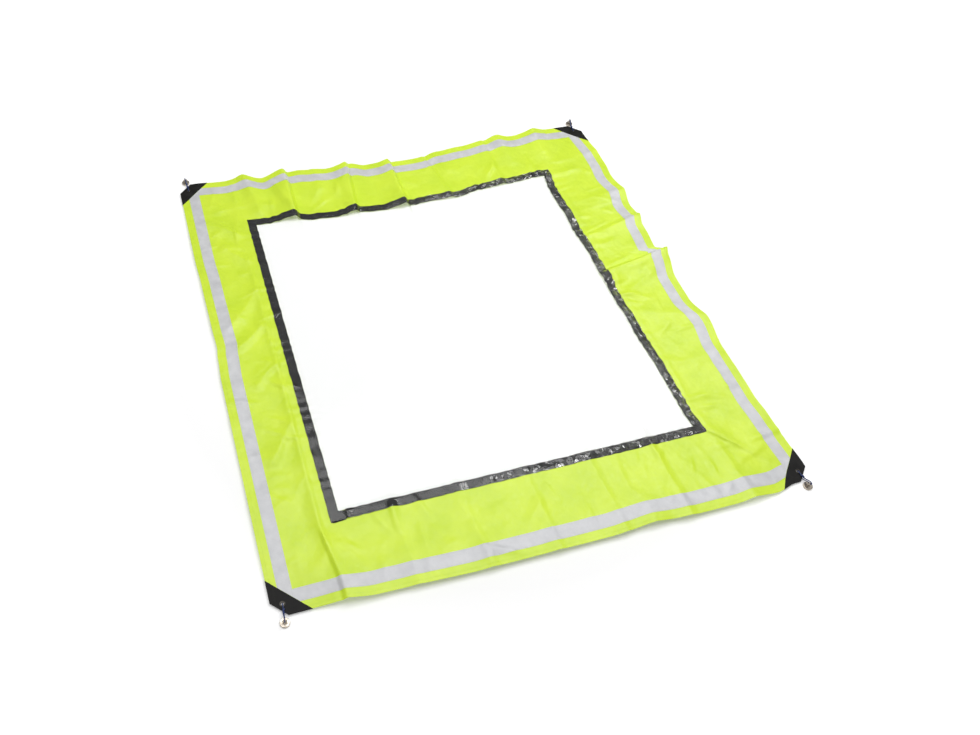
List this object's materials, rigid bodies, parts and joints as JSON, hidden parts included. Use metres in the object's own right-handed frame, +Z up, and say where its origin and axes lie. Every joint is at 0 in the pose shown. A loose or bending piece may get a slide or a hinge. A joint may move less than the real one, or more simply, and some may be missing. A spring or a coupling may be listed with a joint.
{
  "type": "casualty protection sheet",
  "caption": "Large hi-vis protection sheet with a clear window, reflective tape and a pot magnet on a loop of cord at each corner.",
  "frame": {"origin": "on the floor under the middle of the sheet", "axes": "+X to the sheet's right, +Y to its back, +Z up from the floor; the sheet folds about a line along Y through its middle"},
  "size_m": [2.15, 2.3216, 0.034],
  "materials": {
    "hi_vis_cloth": "coated woven polyester, satin",
    "black_webbing": "woven, matt",
    "reflective_tape": "glass-bead retroreflective, silver",
    "clear_film": "clear flexible vinyl, glossy",
    "black_coated_cloth": "coated woven nylon, satin",
    "eyelet_metal": "blackened",
    "navy_cord": "braided polyester",
    "nickel_plate": "nickel plated, satin",
    "magnet_grey": "ground"
  },
  "bodies": {
    "left_half": {"left_panel": "hi_vis_cloth", "left_band": "black_webbing", "left_tape": "reflective_tape", "film_left": "clear_film", "eyelets_left": "eyelet_metal", "eyelet_washers_left": "eyelet_metal", "front_panel_left": "hi_vis_cloth", "front_band_left": "black_webbing", "front_tape_left": "reflective_tape", "front_left_patch": "black_coated_cloth", "front_left_patch_backing": "black_coated_cloth", "back_panel_left": "hi_vis_cloth", "back_band_left": "black_webbing", "back_tape_left": "reflective_tape", "back_left_patch": "black_coated_cloth", "back_left_patch_backing": "black_coated_cloth"},
    "right_half": {"right_panel": "hi_vis_cloth", "right_band": "black_webbing", "right_tape": "reflective_tape", "film_right": "clear_film", "eyelets_right": "eyelet_metal", "eyelet_washers_right": "eyelet_metal", "front_panel_right": "hi_vis_cloth", "front_band_right": "black_webbing", "front_tape_right": "reflective_tape", "front_right_patch": "black_coated_cloth", "front_right_patch_backing": "black_coated_cloth", "back_panel_right": "hi_vis_cloth", "back_band_right": "black_webbing", "back_tape_right": "reflective_tape", "back_right_patch": "black_coated_cloth", "back_right_patch_backing": "black_coated_cloth"},
    "front_left_tether": {"front_left_cord": "navy_cord", "front_left_knot": "navy_cord"},
    "front_left_anchor": {"front_left_pot": "nickel_plate", "front_left_magnet": "magnet_grey", "front_left_eye_bolt": "nickel_plate"},
    "front_right_tether": {"front_right_cord": "navy_cord", "front_right_knot": "navy_cord"},
    "front_right_anchor": {"front_right_pot": "nickel_plate", "front_right_magnet": "magnet_grey", "front_right_eye_bolt": "nickel_plate"},
    "back_left_tether": {"back_left_cord": "navy_cord", "back_left_knot": "navy_cord"},
    "back_left_anchor": {"back_left_pot": "nickel_plate", "back_left_magnet": "magnet_grey", "back_left_eye_bolt": "nickel_plate"},
    "back_right_tether": {"back_right_cord": "navy_cord", "back_right_knot": "navy_cord"},
    "back_right_anchor": {"back_right_pot": "nickel_plate", "back_right_magnet": "magnet_grey", "back_right_eye_bolt": "nickel_plate"}
  },
  "joints": [
    {"name": "half_fold", "type": "hinge", "parent": "left_half", "child": "right_half", "pos_m": [0, 0, 0.038], "axis": [0, -1, 0], "range_deg": [0, 174]},
    {"name": "front_left_swing", "type": "hinge", "parent": "left_half", "child": "front_left_tether", "pos_m": [-1.033, -1.078, 0.0077], "axis": [0, 0, -1], "range_deg": [-5, 85]},
    {"name": "front_left_tip", "type": "hinge", "parent": "front_left_tether", "child": "front_left_anchor", "pos_m": [-1.03866, -1.14275, 0.027], "axis": [-0.9962, 0.0872, 0], "range_deg": [0, 120]},
    {"name": "front_right_swing", "type": "hinge", "parent": "right_half", "child": "front_right_tether", "pos_m": [1.033, -1.078, 0.0077], "axis": [0, 0, 1], "range_deg": [-5, 85]},
    {"name": "front_right_tip", "type": "hinge", "parent": "front_right_tether", "child": "front_right_anchor", "pos_m": [1.03866, -1.14275, 0.027], "axis": [-0.9962, -0.0872, 0], "range_deg": [0, 120]},
    {"name": "back_left_swing", "type": "hinge", "parent": "left_half", "child": "back_left_tether", "pos_m": [-1.033, 1.078, 0.0077], "axis": [0, 0, 1], "range_deg": [-5, 85]},
    {"name": "back_left_tip", "type": "hinge", "parent": "back_left_tether", "child": "back_left_anchor", "pos_m": [-1.03866, 1.14275, 0.027], "axis": [0.9962, 0.0872, 0], "range_deg": [0, 120]},
    {"name": "back_right_swing", "type": "hinge", "parent": "right_half", "child": "back_right_tether", "pos_m": [1.033, 1.078, 0.0077], "axis": [0, 0, -1], "range_deg": [-5, 85]},
    {"name": "back_right_tip", "type": "hinge", "parent": "back_right_tether", "child": "back_right_anchor", "pos_m": [1.03866, 1.14275, 0.027], "axis": [0.9962, -0.0872, 0], "range_deg": [0, 120]}
  ]
}
